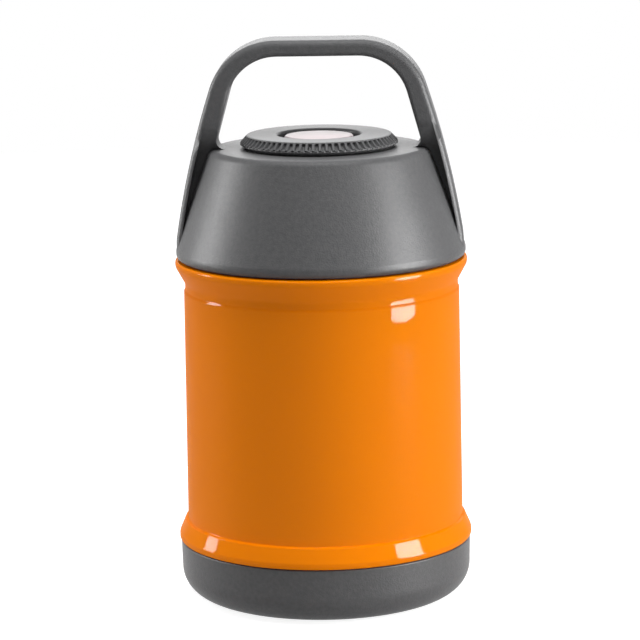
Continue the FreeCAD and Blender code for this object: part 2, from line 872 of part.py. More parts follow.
def valve_plug():
    """Silicone disc that closes the vent from below."""
    return turned([
        (stem_r, plug_z - valve_thick),
        (vent_r + valve_lap, plug_z - valve_thick, valve_lap / 2),
        (vent_r + valve_lap, plug_z),
        (stem_r, plug_z),
    ])


def tangent_arc(start, way, end):
    """Arc from a point, setting off along a direction, to another point."""
    chord = end - start
    ahead = V(chord).normalize()
    aside = (way - ahead * way.dot(ahead)).normalize()
    rise = chord.Length / 2 * math.tan(way.getAngle(chord) / 2)
    return Part.Arc(start, start + chord * 0.5 + aside * rise, end).toShape()


def biarc(start, way, end, end_way):
    """Two arcs that join two points with given directions, smooth where they meet."""
    span = end - start
    swing = 2 * (1 - way.dot(end_way))
    along = span.dot(way + end_way)
    reach = (math.sqrt(along ** 2 + swing * span.dot(span)) - along) / swing
    joint = (start + end + (way - end_way) * reach) * 0.5
    back = tangent_arc(end, end_way * -1, joint)
    return [tangent_arc(start, way, joint), back]


def coil_point(turn, rise, low):
    """Point on the spring's wire and the wire's direction there, after a number of turns."""
    angle = 2 * math.pi * turn
    point = V(spring_r * math.cos(angle), spring_r * math.sin(angle), low + rise * turn)
    way = V(-math.sin(angle), math.cos(angle), rise / (2 * math.pi * spring_r)).normalize()
    return point, way


def coil_gap(edges):
    """Least gap of the spring's wire to itself, between points over half a turn apart."""
    points = [point for edge in edges for point in edge.discretize(coil_samples)]
    half_turn = 2 * coil_samples
    spans = [first.distanceToPoint(second)
             for index, first in enumerate(points) for second in points[index + half_turn:]]
    return min(spans) - 2 * spring_wire_r


def button_spring():
    """Compression spring round the button's hub, from the well's floor to the button."""
    low = well_floor_z + well_floor + spring_wire_r + spring_play
    rise = (button_z - spring_wire_r - spring_play - low) / spring_turns
    edges = []
    for half in range(2 * spring_turns):
        start, way = coil_point(half / 2, rise, low)
        end, end_way = coil_point((half + 1) / 2, rise, low)
        edges += biarc(start, way, end, end_way)
    print("spring's least gap to itself", round(coil_gap(edges), 2), "mm")
    start, way = coil_point(0, rise, low)
    section = Part.Wire(Part.Circle(start, way, spring_wire_r).toShape())
    return Part.Wire(Part.__sortEdges__(edges)).makePipeShell([section], True, False)


def write_parts():
    """Build every piece and write one STEP file for each."""
    os.makedirs("parts", exist_ok=True)
    pieces = [
        base_cup, base_pad, outer_shell, bottom_plate, vacuum_seal, getter_pellet, getter_clip,
        radiation_foil, inner_liner, neck_collar, lid_seal, lid_shell, inner_lid, lid_foam,
        valve_housing, housing_seal, knurled_ring, release_button, valve_stem, valve_plug,
        button_spring,
    ]
    for piece in pieces:
        shape = piece()
        shape.exportStep("parts/" + piece.__name__ + ".step")
        print(piece.__name__, "valid" if shape.isValid() else "INVALID", round(shape.Volume, 1),
              "mm3,", len(shape.Solids), "solid")


write_parts()
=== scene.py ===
"""Looks of the insulated food jar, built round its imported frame.

Lengths in the code are millimetres and become metres where a mesh is made. The frame is the part's own:
+Z up along the jar's axis, the jar standing on z = 0, the handle's arms at +X and -X.
"""

import logging
import math
from dataclasses import dataclass, field
from enum import Enum

import bmesh
import bpy
from mathutils import Matrix, Vector


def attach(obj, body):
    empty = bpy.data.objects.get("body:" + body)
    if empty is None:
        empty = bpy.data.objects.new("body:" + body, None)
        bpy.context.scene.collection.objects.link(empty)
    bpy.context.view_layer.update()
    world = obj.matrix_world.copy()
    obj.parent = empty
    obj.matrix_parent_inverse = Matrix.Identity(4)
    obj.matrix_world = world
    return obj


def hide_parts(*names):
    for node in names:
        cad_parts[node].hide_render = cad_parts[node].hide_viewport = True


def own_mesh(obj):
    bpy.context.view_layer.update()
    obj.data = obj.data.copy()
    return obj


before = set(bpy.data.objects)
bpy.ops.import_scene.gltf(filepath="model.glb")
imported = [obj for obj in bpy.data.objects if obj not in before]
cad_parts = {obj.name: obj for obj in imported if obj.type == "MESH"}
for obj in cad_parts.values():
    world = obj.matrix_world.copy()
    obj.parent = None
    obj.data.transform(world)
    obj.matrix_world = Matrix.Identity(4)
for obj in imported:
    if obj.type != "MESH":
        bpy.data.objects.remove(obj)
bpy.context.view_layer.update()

LOG = logging.getLogger("food_jar")
MM = 0.001
WHITE = (1.0, 1.0, 1.0, 1.0)
PHOTO_PX = 640
SENSOR_MM = 36.0
WELD_M = 2e-6  # points closer than this become one
NEAR = 1e-4  # least length in mm, or angle in radians, that counts in an outline
RIDGE_END = 0.08  # share of a thread ridge's size that is left at its ends
Corner = tuple[float, ...]
Outline = list[Corner]
Tree = bpy.types.NodeTree
Socket = bpy.types.NodeSocket
Piece = bpy.types.Object
Extras = dict[str, float | tuple[float, ...]]


class Body(Enum):
    """Bodies of the frame that the pieces ride on."""

    JAR = "jar"
    SEAL = "seal"
    LID = "lid"
    RING = "ring"
    BUTTON = "button"


class Smoothing(Enum):
    """Largest angle in degrees between two faces that still shade as one surface."""

    TURNED = 32.0
    MOULDED = 36.0
    CRISP = 20.0


class Shine(Enum):
    """What a lamp gives: gloss on smooth faces, spread light on matt ones, or both."""

    GLOSS = "gloss"
    SPREAD = "spread"
    BOTH = "both"


# Colour and node helpers


def hex_colour(text: str) -> tuple[float, float, float, float]:
    """Turn a colour written as sRGB hex into linear values.

    Args:
        text: Six hex digits.

    Returns:
        Linear red, green and blue with an opaque alpha.
    """
    parts = [int(text[index:index + 2], 16) / 255 for index in (0, 2, 4)]
    linear = [part / 12.92 if part <= 0.04045 else ((part + 0.055) / 1.055) ** 2.4 for part in parts]
    return linear[0], linear[1], linear[2], 1.0


def set_inputs(tree: Tree, node: bpy.types.Node, inputs: dict) -> None:
    """Set a node's inputs to constants, or link them.

    Args:
        tree: Node tree of the node.
        node: The node.
        inputs: Values or output sockets by input name or index.
    """
    for key, value in inputs.items():
        if isinstance(value, Socket):
            tree.links.new(value, node.inputs[key])
        else:
            node.inputs[key].default_value = value


def add_node(tree: Tree, kind: str, inputs: dict | None = None, **settings: object) -> bpy.types.Node:
    """Add a node with its settings, constants and links.

    Args:
        tree: Node tree that gets the node.
        kind: Blender's name of the node's type.
        inputs: Values or output sockets by input name or index.
        settings: Properties of the node.

    Returns:
        The new node.
    """
    node = tree.nodes.new(kind)
    for key, value in settings.items():
        setattr(node, key, value)
    set_inputs(tree, node, inputs or {})
    return node


def eye_rays(tree: Tree) -> Socket:
    """Tell what the camera sees, straight or in a reflection or through glass, from the light that falls.

    Args:
        tree: Node tree of the floor or the world.

    Returns:
        Socket that is 1 for what the camera sees.
    """
    rays = add_node(tree, "ShaderNodeLightPath").outputs
    seen = add_node(tree, "ShaderNodeMath", {0: rays["Is Camera Ray"], 1: rays["Is Glossy Ray"]},
                    operation="MAXIMUM")
    either = add_node(tree, "ShaderNodeMath", {0: seen.outputs[0], 1: rays["Is Transmission Ray"]},
                      operation="MAXIMUM")
    return either.outputs[0]


# Mesh helpers


def eased(share: float) -> float:
    """Ease a share softly from 0 to 1, held within them."""
    held = min(1.0, max(0.0, share))
    return held * held * (3 - 2 * held)


def corner_points(before: Vector, corner: Vector, after: Vector, radius: float, step: float) -> list[Vector]:
    """Points of one corner of an outline.

    Args:
        before: Corner in front of it.
        corner: The corner.
        after: Corner behind it.
        radius: Rounding, or 0 for a sharp corner.
        step: Largest turn in degrees between two points of the rounding.

    Returns:
        The corner itself, or the points along its rounding.
    """
    back, ahead = (before - corner).normalized(), (after - corner).normalized()
    half = back.angle(ahead) / 2
    if radius <= 0 or half > math.pi / 2 - NEAR:
        return [corner]
    centre = corner + (back + ahead).normalized() * (radius / math.sin(half))
    start = corner + back * (radius / math.tan(half)) - centre
    end = corner + ahead * (radius / math.tan(half)) - centre
    turn = start.angle(end)
    count = max(2, math.ceil(math.degrees(turn) / step))
    weights = [(math.sin(turn * (1 - t / count)), math.sin(turn * t / count)) for t in range(count + 1)]
    return [centre + (start * near + end * far) / math.sin(turn) for near, far in weights]


def outline_points(corners: Outline, step: float = 9.0, guard: float = 0.3) -> list[Vector]:
    """Points of a closed outline with its roundings.

    Args:
        corners: (radius, height) or (radius, height, rounding) of each corner.
        step: Largest turn in degrees between two points of a rounding.
        guard: Distance from a rounding at which a straight side gets one more point, to keep it flat.

    Returns:
        The points, in order.
    """
    spots = [Vector((corner[0], corner[1])) for corner in corners]
    groups = []
    for index, corner in enumerate(corners):
        radius = corner[2] if len(corner) > 2 else 0.0
        after = spots[(index + 1) % len(spots)]
        groups.append(corner_points(spots[index - 1], spots[index], after, radius, step))
    points: list[Vector] = []
    for index, group in enumerate(groups):
        ahead = groups[(index + 1) % len(groups)]
        points += group
        span = ahead[0] - group[-1]
        if span.length > 4 * guard:
            points.append(group[-1] + span.normalized() * guard)
            points.append(ahead[0] - span.normalized() * guard)
    return [point for index, point in enumerate(points) if (point - points[index - 1]).length > NEAR]


def placed(name: str, data: bpy.types.ID) -> Piece:
    """Put a mesh, lamp or camera in the scene.

    Args:
        name: Name of the object.
        data: The mesh, lamp or camera.

    Returns:
        The object.
    """
    thing = bpy.data.objects.new(name, data)
    bpy.context.scene.collection.objects.link(thing)
    return thing


def new_piece(name: str, mesh: bpy.types.Mesh, smoothing: Smoothing) -> Piece:
    """Clean a mesh, set its smoothing and put it in the scene.

    Args:
        name: The piece's name.
        mesh: Its mesh, in metres and in place.
        smoothing: Angle up to which faces shade as one.

    Returns:
        The new object.
    """
    work = bmesh.new()
    work.from_mesh(mesh)
    bmesh.ops.remove_doubles(work, verts=work.verts, dist=WELD_M)
    bmesh.ops.recalc_face_normals(work, faces=work.faces)
    work.to_mesh(mesh)
    work.free()
    mesh.shade_smooth()
    mesh.set_sharp_from_angle(angle=math.radians(smoothing.value))
    return placed(name, mesh)


def turned(name: str, corners: Outline, segments: int, sweep: float = 360.0, step: float = 9.0) -> Piece:
    """Turn a closed outline round the jar's axis.

    Args:
        name: The piece's name.
        corners: Its outline, in millimetres.
        segments: Faces round the whole turn.
        sweep: Degrees to turn through.
        step: Largest turn in degrees between two points of a rounding.

    Returns:
        The new object.
    """
    points = outline_points(corners, step)
    closed = sweep >= 360.0
    count = max(3, round(segments * sweep / 360))
    rows = count if closed else count + 1
    vertices, faces = [], []
    for row in range(rows):
        angle = math.radians(sweep * row / count)
        vertices += [(p.x * math.cos(angle) * MM, p.x * math.sin(angle) * MM, p.y * MM) for p in points]
    width = len(points)
    for row in range(count):
        near, far = row * width, (row + 1) % rows * width
        for index in range(width):
            ahead = (index + 1) % width
            if max(points[index].x, points[ahead].x) > NEAR:
                faces.append((near + index, far + index, far + ahead, near + ahead))
    if not closed:
        faces.append(tuple(range(width)))
        faces.append(tuple(range((rows - 1) * width, rows * width)))
    mesh = bpy.data.meshes.new(name)
    mesh.from_pydata(vertices, [], faces)
    return new_piece(name, mesh, Smoothing.TURNED)


def plain_mesh(piece: Piece) -> None:
    """Turn a piece with its modifiers into one plain mesh.

    Args:
        piece: The object, which keeps its name.
    """
    graph = bpy.context.evaluated_depsgraph_get()
    mesh = bpy.data.meshes.new_from_object(piece.evaluated_get(graph))
    piece.modifiers.clear()
    piece.data = mesh


def merged_node(node: str, name: str, smoothing: Smoothing) -> Piece:
    """Copy a node of the frame, merged to a closed surface with weighted normals.

    Args:
        node: Name of the node.
        name: Name of the copy.
        smoothing: Angle up to which faces shade as one.

    Returns:
        The new object.
    """
    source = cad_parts[node].data
    mesh = bpy.data.meshes.new(name)
    mesh.from_pydata([vertex.co[:] for vertex in source.vertices], [],
                     [tuple(polygon.vertices) for polygon in source.polygons])
    piece = new_piece(name, mesh, smoothing)
    modifier = piece.modifiers.new("Weighted", "WEIGHTED_NORMAL")
    modifier.keep_sharp = True
    modifier.weight = 60
    plain_mesh(piece)
    return piece


def joined(name: str, pieces: list[Piece]) -> Piece:
    """Join pieces of one body and finish to one mesh.

    Args:
        name: Name of the joined piece.
        pieces: The objects, the first of which stays.

    Returns:
        The joined object.
    """
    with bpy.context.temp_override(active_object=pieces[0], selected_editable_objects=pieces):
        bpy.ops.object.join()
    pieces[0].name = name
    return pieces[0]


# Repeating shapes, made with geometry nodes


def node_inputs(tree: Tree, sockets: dict[str, str]) -> bpy.types.Node:
    """Give a geometry tree its geometry sockets and named inputs.

    Args:
        tree: The tree.
        sockets: Socket type by input name.

    Returns:
        The tree's input node.
    """
    tree.interface.new_socket("Geometry", in_out="INPUT", socket_type="NodeSocketGeometry")
    for name, kind in sockets.items():
        tree.interface.new_socket(name, in_out="INPUT", socket_type=kind)
    tree.interface.new_socket("Geometry", in_out="OUTPUT", socket_type="NodeSocketGeometry")
    return add_node(tree, "NodeGroupInput")


def close_tree(tree: Tree, shape: Socket, given: bpy.types.Node) -> None:
    """Realize a tree's copies, give them the finish and close the tree.

    Args:
        tree: The tree.
        shape: Socket that brings the copies.
        given: The tree's input node.
    """
    real = add_node(tree, "GeometryNodeRealizeInstances", {"Geometry": shape})
    dressed = add_node(tree, "GeometryNodeSetMaterial",
                       {"Geometry": real.outputs[0], "Material": given.outputs["Finish"]})
    add_node(tree, "NodeGroupOutput", {"Geometry": dressed.outputs[0]})


def round_axis(tree: Tree, count: Socket, shape: Socket) -> Socket:
    """Copy a shape evenly round the jar's axis.

    Args:
        tree: The tree.
        count: Socket with the number of copies.
        shape: Socket with the shape, in its place at angle 0.

    Returns:
        Socket with the copies.
    """
    spots = add_node(tree, "GeometryNodePoints", {"Count": count})
    index = add_node(tree, "GeometryNodeInputIndex")
    share = add_node(tree, "ShaderNodeMath", {0: index.outputs[0], 1: count}, operation="DIVIDE")
    angle = add_node(tree, "ShaderNodeMath", {0: share.outputs[0], 1: 2 * math.pi}, operation="MULTIPLY")
    turn = add_node(tree, "ShaderNodeCombineXYZ", {"Z": angle.outputs[0]})
    copies = add_node(tree, "GeometryNodeInstanceOnPoints",
                      {"Points": spots.outputs[0], "Instance": shape, "Rotation": turn.outputs[0]})
    return copies.outputs[0]


def copies_tree() -> Tree:
    """Build the tree that repeats a piece's own mesh round the axis.

    Returns:
        The tree.
    """
    tree = bpy.data.node_groups.new("Copies round the axis", "GeometryNodeTree")
    given = node_inputs(tree, {"Count": "NodeSocketInt", "Finish": "NodeSocketMaterial"})
    close_tree(tree, round_axis(tree, given.outputs["Count"], given.outputs["Geometry"]), given)
    return tree


def thread_tree() -> Tree:
    """Build the tree that sweeps a flat outline along a screw line and repeats it for each start.

    Returns:
        The tree.
    """
    tree = bpy.data.node_groups.new("Screw thread", "GeometryNodeTree")
    sockets = {name: "NodeSocketFloat" for name in ("Radius", "Foot", "Rise", "Turns", "Runout")}
    given = node_inputs(tree, {
        **sockets, "Starts": "NodeSocketInt", "Steps": "NodeSocketInt", "Finish": "NodeSocketMaterial"})
    sizes = given.outputs
    line = add_node(tree, "GeometryNodeCurveSpiral", {
        "Resolution": sizes["Steps"], "Rotations": sizes["Turns"], "Start Radius": sizes["Radius"],
        "End Radius": sizes["Radius"], "Height": sizes["Rise"], "Reverse": True})
    place = add_node(tree, "ShaderNodeCombineXYZ", {"Z": sizes["Foot"]})
    raised = add_node(tree, "GeometryNodeTransform",
                      {"Geometry": line.outputs[0], "Translation": place.outputs[0]})
    upright = add_node(tree, "GeometryNodeSetCurveNormal", {"Curve": raised.outputs[0]}, mode="Z_UP")
    way = add_node(tree, "GeometryNodeSplineParameter")
    back = add_node(tree, "ShaderNodeMath", {0: 1.0, 1: way.outputs["Factor"]}, operation="SUBTRACT")
    near = add_node(tree, "ShaderNodeMath", {0: way.outputs["Factor"], 1: back.outputs[0]},
                    operation="MINIMUM")
    grown = add_node(tree, "ShaderNodeMapRange", {
        "Value": near.outputs[0], "From Min": 0.0, "From Max": sizes["Runout"],
        "To Min": RIDGE_END, "To Max": 1.0}, interpolation_type="SMOOTHSTEP")
    sized = add_node(tree, "GeometryNodeSetCurveRadius",
                     {"Curve": upright.outputs[0], "Radius": grown.outputs[0]})
    section = add_node(tree, "GeometryNodeMeshToCurve", {"Mesh": sizes["Geometry"]})
    ridge = add_node(tree, "GeometryNodeCurveToMesh", {
        "Curve": sized.outputs[0], "Profile Curve": section.outputs[0], "Scale": grown.outputs[0],
        "Fill Caps": True})
    close_tree(tree, round_axis(tree, sizes["Starts"], ridge.outputs[0]), given)
    return tree


def run_tree(piece: Piece, tree: Tree, values: dict[str, object]) -> None:
    """Run a geometry tree on a piece and keep its result as a plain mesh.

    Args:
        piece: The object that the tree works on.
        tree: The tree.
        values: Values by input name.
    """
    modifier = piece.modifiers.new(tree.name, "NODES")
    modifier.node_group = tree
    for item in tree.interface.items_tree:
        if item.in_out == "INPUT" and item.name in values:
            modifier[item.identifier] = values[item.name]
    bpy.context.view_layer.update()
    plain_mesh(piece)


# Finishes


@dataclass(frozen=True)
class Finish:
    """A surface finish that is built as nodes on one Principled shader."""

    name: str
    colour: str
    shade: str
    roughness: float
    ior: float = 1.5
    metallic: float = 0.0
    blotch: float = 20.0
    grain: float = 0.5
    grain_depth: float = 0.01
    uneven: float = 0.08

    def build(self) -> bpy.types.Material:
        """Build the finish's material.

        Returns:
            The material.
        """
        material = bpy.data.materials.new(self.name)
        material.use_nodes = True
        tree = material.node_tree
        shader = tree.nodes["Principled BSDF"]
        place = add_node(tree, "ShaderNodeTexCoord").outputs["Object"]
        wide = add_node(tree, "ShaderNodeTexNoise",
                        {"Vector": place, "Scale": 1 / (self.blotch * MM), "Detail": 3.0})
        colour = add_node(tree, "ShaderNodeMixRGB", {
            "Fac": wide.outputs["Fac"], "Color1": hex_colour(self.colour), "Color2": hex_colour(self.shade)})
        close = add_node(tree, "ShaderNodeTexNoise",
                         {"Vector": place, "Scale": 2 / (self.blotch * MM), "Detail": 4.0})
        rough = add_node(tree, "ShaderNodeMapRange", {
            "Value": close.outputs["Fac"], "To Min": self.roughness * (1 - self.uneven),
            "To Max": self.roughness * (1 + self.uneven)})
        bump = add_node(tree, "ShaderNodeBump", {
            "Height": self.grain_socket(tree, place), "Strength": 1.0, "Distance": self.grain_depth * MM})
        set_inputs(tree, shader, {
            "Metallic": self.metallic, "Base Color": colour.outputs[0], "Roughness": rough.outputs[0],
            "Normal": bump.outputs[0], **self.extras()})
        if self.metallic < 0.5:
            shader.inputs["IOR"].default_value = self.ior
        return material

    def extras(self) -> Extras:
        """Constants that only this finish has, by socket; most have none."""
        return {}

    def grain_socket(self, tree: Tree, place: Socket) -> Socket:
        """Height of the surface's fine grain."""
        grain = add_node(tree, "ShaderNodeTexNoise",
                         {"Vector": place, "Scale": 1 / (self.grain * MM), "Detail": 2.0})
        return grain.outputs["Fac"]


@dataclass(frozen=True)
class StovedLacquer(Finish):
    """Stoved orange lacquer: even colour under a clear coat, with mirror-like highlights."""

    def extras(self) -> Extras:
        """Leave the gloss to a thin clear coat, so that the orange stays deep up to its edges."""
        return {"Specular IOR Level": 0.0, "Coat Weight": 0.11, "Coat Roughness": 0.02, "Coat IOR": 1.5}


@dataclass(frozen=True)
class ErodedMoulding(Finish):
    """Polypropylene from a spark-eroded mould: satin, with a fine sandy grain."""

    gloss: float = 0.115
    sand: float = 2.2

    def extras(self) -> Extras:
        """Weaken the gloss, as the grain scatters part of it."""
        return {"Specular IOR Level": self.gloss}

    def grain_socket(self, tree: Tree, place: Socket) -> Socket:
        """Height of small domes, from the spark craters of the mould, with finer sand on them.

        Args:
            tree: The material's tree.
            place: Socket with the place on the piece.

        Returns:
            Socket with the height.
        """
        size = self.grain * MM
        domes = add_node(tree, "ShaderNodeTexVoronoi", {"Vector": place, "Scale": 1 / size},
                         feature="SMOOTH_F1")
        sand = add_node(tree, "ShaderNodeTexNoise",
                        {"Vector": place, "Scale": self.sand / size, "Detail": 3.0})
        both = add_node(tree, "ShaderNodeMath", {0: domes.outputs["Distance"], 1: sand.outputs["Fac"]},
                        operation="ADD")
        return both.outputs[0]


@dataclass(frozen=True)
class SoftMoulding(Finish):
    """Silicone, acetal or natural polypropylene: light goes a little way in and comes back."""

    depth: float = 1.0
    gloss: float = 0.2
    softness: float = 0.25

    def extras(self) -> Extras:
        """Let light in a little way, and keep the gloss soft."""
        return {"Specular IOR Level": self.gloss, "Subsurface Weight": self.softness,
                "Subsurface Radius": (self.depth * MM,) * 3, "Subsurface Scale": 1.0}


@dataclass(frozen=True)
class TurnedSteel(Finish):
    """Satin stainless steel with the fine rings that spinning and polishing leave."""

    along: float = 40.0

    def grain_socket(self, tree: Tree, place: Socket) -> Socket:
        """Height of fine rings across the axis, long in their own direction.

        Args:
            tree: The material's tree.
            place: Socket with the place on the piece.

        Returns:
            Socket with the height.
        """
        stretch = (self.along, self.along, 1 / (self.grain * MM))
        long = add_node(tree, "ShaderNodeMapping", {"Vector": place, "Scale": stretch})
        rings = add_node(tree, "ShaderNodeTexNoise", {"Vector": long.outputs[0], "Scale": 1.0, "Detail": 2.0})
        return rings.outputs["Fac"]


@dataclass(frozen=True)
class Foam(Finish):
    """Closed-cell foam: matt, with the pits of cut bubbles."""

    def grain_socket(self, tree: Tree, place: Socket) -> Socket:
        """Height of the pits of cut cells."""
        cells = add_node(tree, "ShaderNodeTexVoronoi", {"Vector": place, "Scale": 1 / (self.grain * MM)})
        return cells.outputs["Distance"]


# Stoved lacquer on steel: a deep even orange whose gloss shows the lamps sharply; orange peel 2 mm across.
ORANGE_LACQUER = StovedLacquer("stoved_orange_lacquer", "f78600", "f58300", 0.5, 1.5, blotch=30.0, grain=2.2,
                               grain_depth=0.0015)
# Grey polypropylene from a spark-eroded mould: satin and faintly speckled. The real grain is about 0.1 mm; it
# is drawn at 0.6 mm to show.
GREY_MOULDING = ErodedMoulding("grey_polypropylene_eroded", "626263", "505051", 0.42, 1.49, blotch=1.5,
                               grain=0.6, grain_depth=0.05)
# The ring is the same plastic from a smoother mould: more even, with a finer grain that is drawn at 0.35 mm.
RING_MOULDING = ErodedMoulding("grey_polypropylene_fine", "5c5c5d", "565657", 0.42, 1.49, blotch=2.0,
                               grain=0.35, grain_depth=0.008)
# Polypropylene of the valve housing, nearly black and matt: painted shade, so that the gap round the button
# looks deep.
HOUSING_PAINTED_SHADE = ErodedMoulding("dark_polypropylene_painted_shade", "303032", "2b2b2d", 0.5, 1.49, blotch=6.0, grain=0.4,
                               grain_depth=0.01)
# Pale pink acetal, moulded smooth and slightly waxy. It is written darker than it looks, to come out near the
# photo under these lamps.
BUTTON_MOULDING = SoftMoulding("pale_pink_acetal", "bdadaf", "b8a8aa", 0.38, 1.48, blotch=8.0, grain=0.4,
                               grain_depth=0.002, depth=0.8)
# Natural food-grade polypropylene: off-white and milky at its edges.
INNER_MOULDING = SoftMoulding("natural_polypropylene", "dcdad2", "d5d3ca", 0.42, 1.49, blotch=12.0,
                              grain=0.5, grain_depth=0.004, depth=1.2)
# Silicone seal: whitish, translucent and matt.
SILICONE = SoftMoulding("silicone_rubber", "dfe0e2", "d6d8da", 0.55, 1.41, blotch=6.0, grain=0.3,
                        grain_depth=0.004, depth=2.0)
# Thermoplastic rubber of the foot: nearly black and matt, so that it hardly shines.
PAD_RUBBER = Finish("moulded_rubber", "232325", "1d1d1f", 0.72, 1.52, blotch=5.0, grain=0.35,
                    grain_depth=0.012)
# Bare stainless steel: satin, with rings 0.2 mm apart from polishing, drawn at 0.35 mm.
BARE_STEEL = TurnedSteel("satin_stainless_steel", "c3c3c5", "b9b9bb", 0.3, metallic=1.0, blotch=15.0,
                         grain=0.35, grain_depth=0.003)
# Copper foil: bright and slightly crumpled.
COPPER_FOIL = Finish("copper_foil", "e39a72", "d98c62", 0.22, metallic=1.0, blotch=10.0, grain=6.0,
                     grain_depth=0.12)
# Sintered getter: dull dark metal powder.
GETTER = Finish("sintered_getter", "3f3f42", "35353a", 0.7, metallic=0.8, blotch=1.5, grain=0.25,
                grain_depth=0.02)
# Fused sealing glass: dark, smooth and glossy.
SEALING_GLASS = Finish("fused_sealing_glass", "4c5358", "43494e", 0.12, 1.52, blotch=2.0, grain=1.5,
                       grain_depth=0.01)
# Closed-cell foam: white, matt and pitted.
WHITE_FOAM = Foam("closed_cell_foam", "ece9de", "e4e0d2", 0.85, 1.4, blotch=6.0, grain=0.9, grain_depth=0.12)


class Workshop:
    """Keeps the materials that are built and puts pieces on their bodies."""

    def __init__(self) -> None:
        """Start with no material, and with both geometry trees."""
        self.materials: dict[str, bpy.types.Material] = {}
        self.copies = copies_tree()
        self.threads = thread_tree()

    def material(self, finish: Finish) -> bpy.types.Material:
        """Give a finish's material, built once.

        Args:
            finish: The finish.

        Returns:
            Its material.
        """
        if finish.name not in self.materials:
            self.materials[finish.name] = finish.build()
        return self.materials[finish.name]

    def dress(self, piece: Piece, finish: Finish, body: Body, slot: str, *nodes: str) -> None:
        """Give a piece its finish and body, and let it stand for its nodes.

        Args:
            piece: The piece, with its final shape.
            finish: Its finish.
            body: The body that it moves with.
            slot: Not used.
            nodes: Nodes of the frame that it stands for.
        """
        piece.data.materials.clear()
        piece.data.materials.append(self.material(finish))
        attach(piece, body.value)
        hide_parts(*nodes)
        LOG.info("%s: %d faces on %s", piece.name, len(piece.data.polygons), body.value)

    def dress_nodes(self, **finishes: Finish) -> None:
        """Give nodes of the frame their finishes.

        Args:
            finishes: Finish by the node's name.
        """
        for node, finish in finishes.items():
            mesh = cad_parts[node].data
            mesh.materials.clear()
            mesh.materials.append(self.material(finish))
            LOG.info("%s: node of the frame in %s", node, finish.name)


# Sub-assemblies


@dataclass
class SteelVessel:
    """Lacquered shell, liner and what closes the vacuum between them."""

    steel: float = 0.8
    foot_r: float = 52.2
    foot_z: float = 6.6
    bead_r: float = 55.9
    bead_z: float = 22.0
    bead_side: float = 2.3
    bead_side_round: float = 2.4
    bead_top_r: float = 53.6
    bead_top_z: float = 29.6
    barrel_r: float = 52.6
    barrel_low_z: float = 30.0
    barrel_top_r: float = 52.1
    barrel_top_z: float = 117.7
    waist_r: float = 51.65
    waist_low_z: float = 118.6
    waist_z: float = 121.1
    flare_round: float = 3.4
    flare_z: float = 127.5
    flare_top_round: float = 2.8
    lip_r: float = 55.15
    lip_round: float = 1.0
    shoulder_z: float = 129.8
    neck_r: float = 40.682
    neck_round: float = 1.2
    mouth_z: float = 146.2
    liner_r: float = 47.15
    liner_neck_r: float = 38.882
    liner_floor_z: float = 13.0
    liner_corner: float = 12.0
    liner_top_z: float = 121.5
    liner_neck_z: float = 128.5
    liner_bend: float = 4.0
    crease: float = 0.4
    least_round: float = 0.15
    lacquer_r: float = 44.0

    def shell_side(self, depth: float) -> Outline:
        """Shell's side from foot to neck.

        Args:
            depth: Distance under the surface.

        Returns:
            Corners of the outline.
        """
        rolled = max(self.lip_round - depth, self.least_round)
        crease = 0.0 if depth else self.crease
        return [
            (self.foot_r - depth, self.foot_z),
            (self.foot_r - depth, self.bead_z + depth),
            (self.bead_r - depth, self.bead_z + depth, rolled),
            (self.bead_r - depth, self.bead_z + self.bead_side, self.bead_side_round),
            (self.bead_top_r - depth, self.bead_top_z - depth, crease),
            (self.barrel_r - depth, self.barrel_low_z - depth, crease),
            (self.barrel_top_r - depth, self.barrel_top_z, crease),
            (self.waist_r - depth, self.waist_low_z, crease),
            (self.waist_r - depth, self.waist_z, self.flare_round + depth),
            (self.lip_r - depth, self.flare_z, self.flare_top_round),
            (self.lip_r - depth, self.shoulder_z - depth, rolled),
            (self.neck_r - depth, self.shoulder_z - depth, self.neck_round),
        ]

    def is_lacquered(self, spot: Vector, normal: Vector) -> bool:
        """Whether a spot gets lacquer: only the outside does, up to where the collar begins.

        Args:
            spot: The spot, in millimetres.
            normal: The surface's direction there.

        Returns:
            True on the lacquered outside.
        """
        across = Vector((spot.x, spot.y))
        faces_out = normal.z > 0.5 or Vector((normal.x, normal.y)).dot(across) > 0
        return faces_out and across.length > self.lacquer_r

    def liner_side(self, depth: float) -> Outline:
        """Liner's side from the middle of its floor to its mouth.

        Args:
            depth: Distance under the surface.

        Returns:
            Corners of the outline.
        """
        return [
            (0.0, self.liner_floor_z + depth),
            (self.liner_r - depth, self.liner_floor_z + depth, self.liner_corner - depth),
            (self.liner_r - depth, self.liner_top_z, self.liner_bend - depth),
            (self.liner_neck_r - depth, self.liner_neck_z, self.liner_bend + depth),
            (self.liner_neck_r - depth, self.mouth_z),
        ]

    def build(self, shop: Workshop) -> None:
        """Build the shell and liner, and dress the nodes between them.

        Args:
            shop: The workshop.
        """
        mouth = [
            (self.neck_r, self.mouth_z, self.crease),
            (self.liner_neck_r, self.mouth_z),
            (self.liner_neck_r, self.mouth_z - self.steel),
            (self.neck_r - self.steel, self.mouth_z - self.steel),
        ]
        shell = turned("steel_shell", self.shell_side(0) + mouth + self.shell_side(self.steel)[::-1],
                       segments=256, step=6.0)
        shop.dress(shell, ORANGE_LACQUER, Body.JAR, "orange_lacquer", "outer_shell")
        shell.data.materials.append(shop.material(BARE_STEEL))
        for face in shell.data.polygons:
            face.material_index = 0 if self.is_lacquered(face.center / MM, face.normal) else 1
        liner = turned("steel_liner", self.liner_side(0) + self.liner_side(self.steel)[::-1], segments=128)
        shop.dress(liner, BARE_STEEL, Body.JAR, "bare_steel", "inner_liner")
        shop.dress_nodes(bottom_plate=BARE_STEEL, getter_clip=BARE_STEEL, getter_pellet=GETTER,
                         radiation_foil=COPPER_FOIL, vacuum_seal=SEALING_GLASS)


